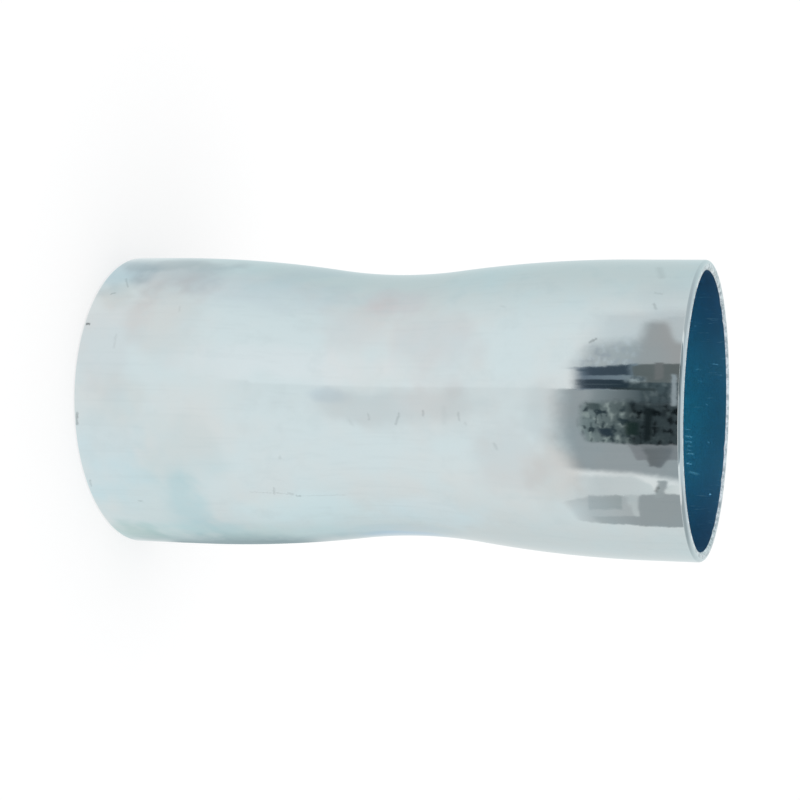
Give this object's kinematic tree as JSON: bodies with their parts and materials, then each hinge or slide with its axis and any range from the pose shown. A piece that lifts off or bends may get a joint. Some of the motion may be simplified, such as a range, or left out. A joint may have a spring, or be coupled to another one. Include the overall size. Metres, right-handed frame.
{
  "type": "slip coupling",
  "caption": "Round steel sleeve with a squeezed-in waist at mid-length, open at both ends, that slips over two tubes to join them end to end.",
  "frame": {"origin": "centre of the lower cut end, in the plane that the sleeve stands on", "axes": "+Z along the tube's axis, up through the sleeve; X and Y across it, alike in every direction"},
  "size_m": [0.0604, 0.0604, 0.122],
  "materials": {
    "zinc_plated_steel": "bright blue-white zinc plate"
  },
  "bodies": {
    "root": {"coupling_sleeve": "zinc_plated_steel"}
  },
  "joints": []
}
